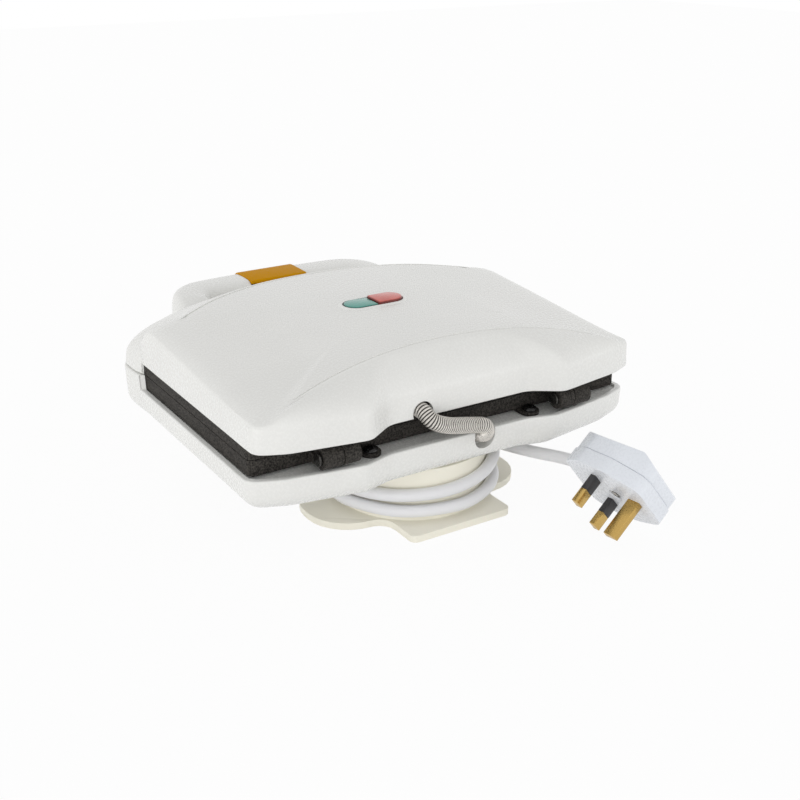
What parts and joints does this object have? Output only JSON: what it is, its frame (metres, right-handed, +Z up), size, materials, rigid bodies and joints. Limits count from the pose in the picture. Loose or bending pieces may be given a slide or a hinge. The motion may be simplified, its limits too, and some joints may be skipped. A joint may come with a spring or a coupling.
{
  "type": "sandwich toaster",
  "caption": "Clamshell sandwich toaster: hinged white casings, cast plates with triangular pockets, looped handle with clip, cord wound under the base, square-pin plug.",
  "frame": {"origin": "centre of the bounding box of the toaster without its cord and plug, on the table", "axes": "+Z up, -Y towards the handle, +Y towards the hinges, X = 0 is the mirror plane"},
  "size_m": [0.2446, 0.3207, 0.1063],
  "materials": {
    "white_moulding": "moulded, satin gloss",
    "cream_moulding": "moulded, matt",
    "cast_plate": "cast, dark non-stick coating",
    "steel": "bright",
    "black_plastic": "moulded",
    "sheet_aluminium": "mill finish",
    "brass": "plain",
    "rubber": "soft",
    "grey_sleeve": "ribbed",
    "green_lens": "translucent",
    "red_lens": "translucent",
    "neon_glass": "clear",
    "heater_metal": "oxidised",
    "cord_white": "flexible PVC",
    "clip_plastic": "moulded",
    "ceramic_white": "glazed"
  },
  "bodies": {
    "base": {"lower_casing": "white_moulding", "cord_drum": "cream_moulding", "drum_screws": "steel", "foot_pads": "rubber", "lower_plate": "cast_plate", "plate_screws": "black_plastic", "lower_heater": "heater_metal", "lower_reflector": "sheet_aluminium", "thermal_fuse": "brass", "terminal_block": "ceramic_white", "hinge_pins": "steel", "cord_gland": "cord_white", "conduit_socket": "white_moulding", "wire_conduit": "grey_sleeve", "cord_winding": "cord_white", "cord_tail": "cord_white", "plug_base": "white_moulding", "plug_cover": "white_moulding", "plug_pins": "brass", "pin_sleeves": "black_plastic", "plug_fuse": "ceramic_white", "plug_screw": "steel"},
    "lid": {"upper_casing": "white_moulding", "upper_plate": "cast_plate", "lid_screws": "steel", "upper_heater": "heater_metal", "upper_reflector": "sheet_aluminium", "thermostat": "ceramic_white", "lamp_holder": "ceramic_white", "neon_lamps": "neon_glass", "green_lens": "green_lens", "red_lens": "red_lens", "clip_pin": "steel"},
    "latch": {"latch_clip": "clip_plastic"}
  },
  "joints": [
    {"name": "lid_hinge", "type": "hinge", "parent": "base", "child": "lid", "pos_m": [0, 0.117, 0.0615], "axis": [-1, 0, 0], "range_deg": [0, 100], "deforming": ["wire_conduit"]},
    {"name": "latch_pivot", "type": "hinge", "parent": "lid", "child": "latch", "pos_m": [0, -0.0964, 0.0839], "axis": [-1, 0, 0], "range_deg": [-6.5, 16]}
  ]
}
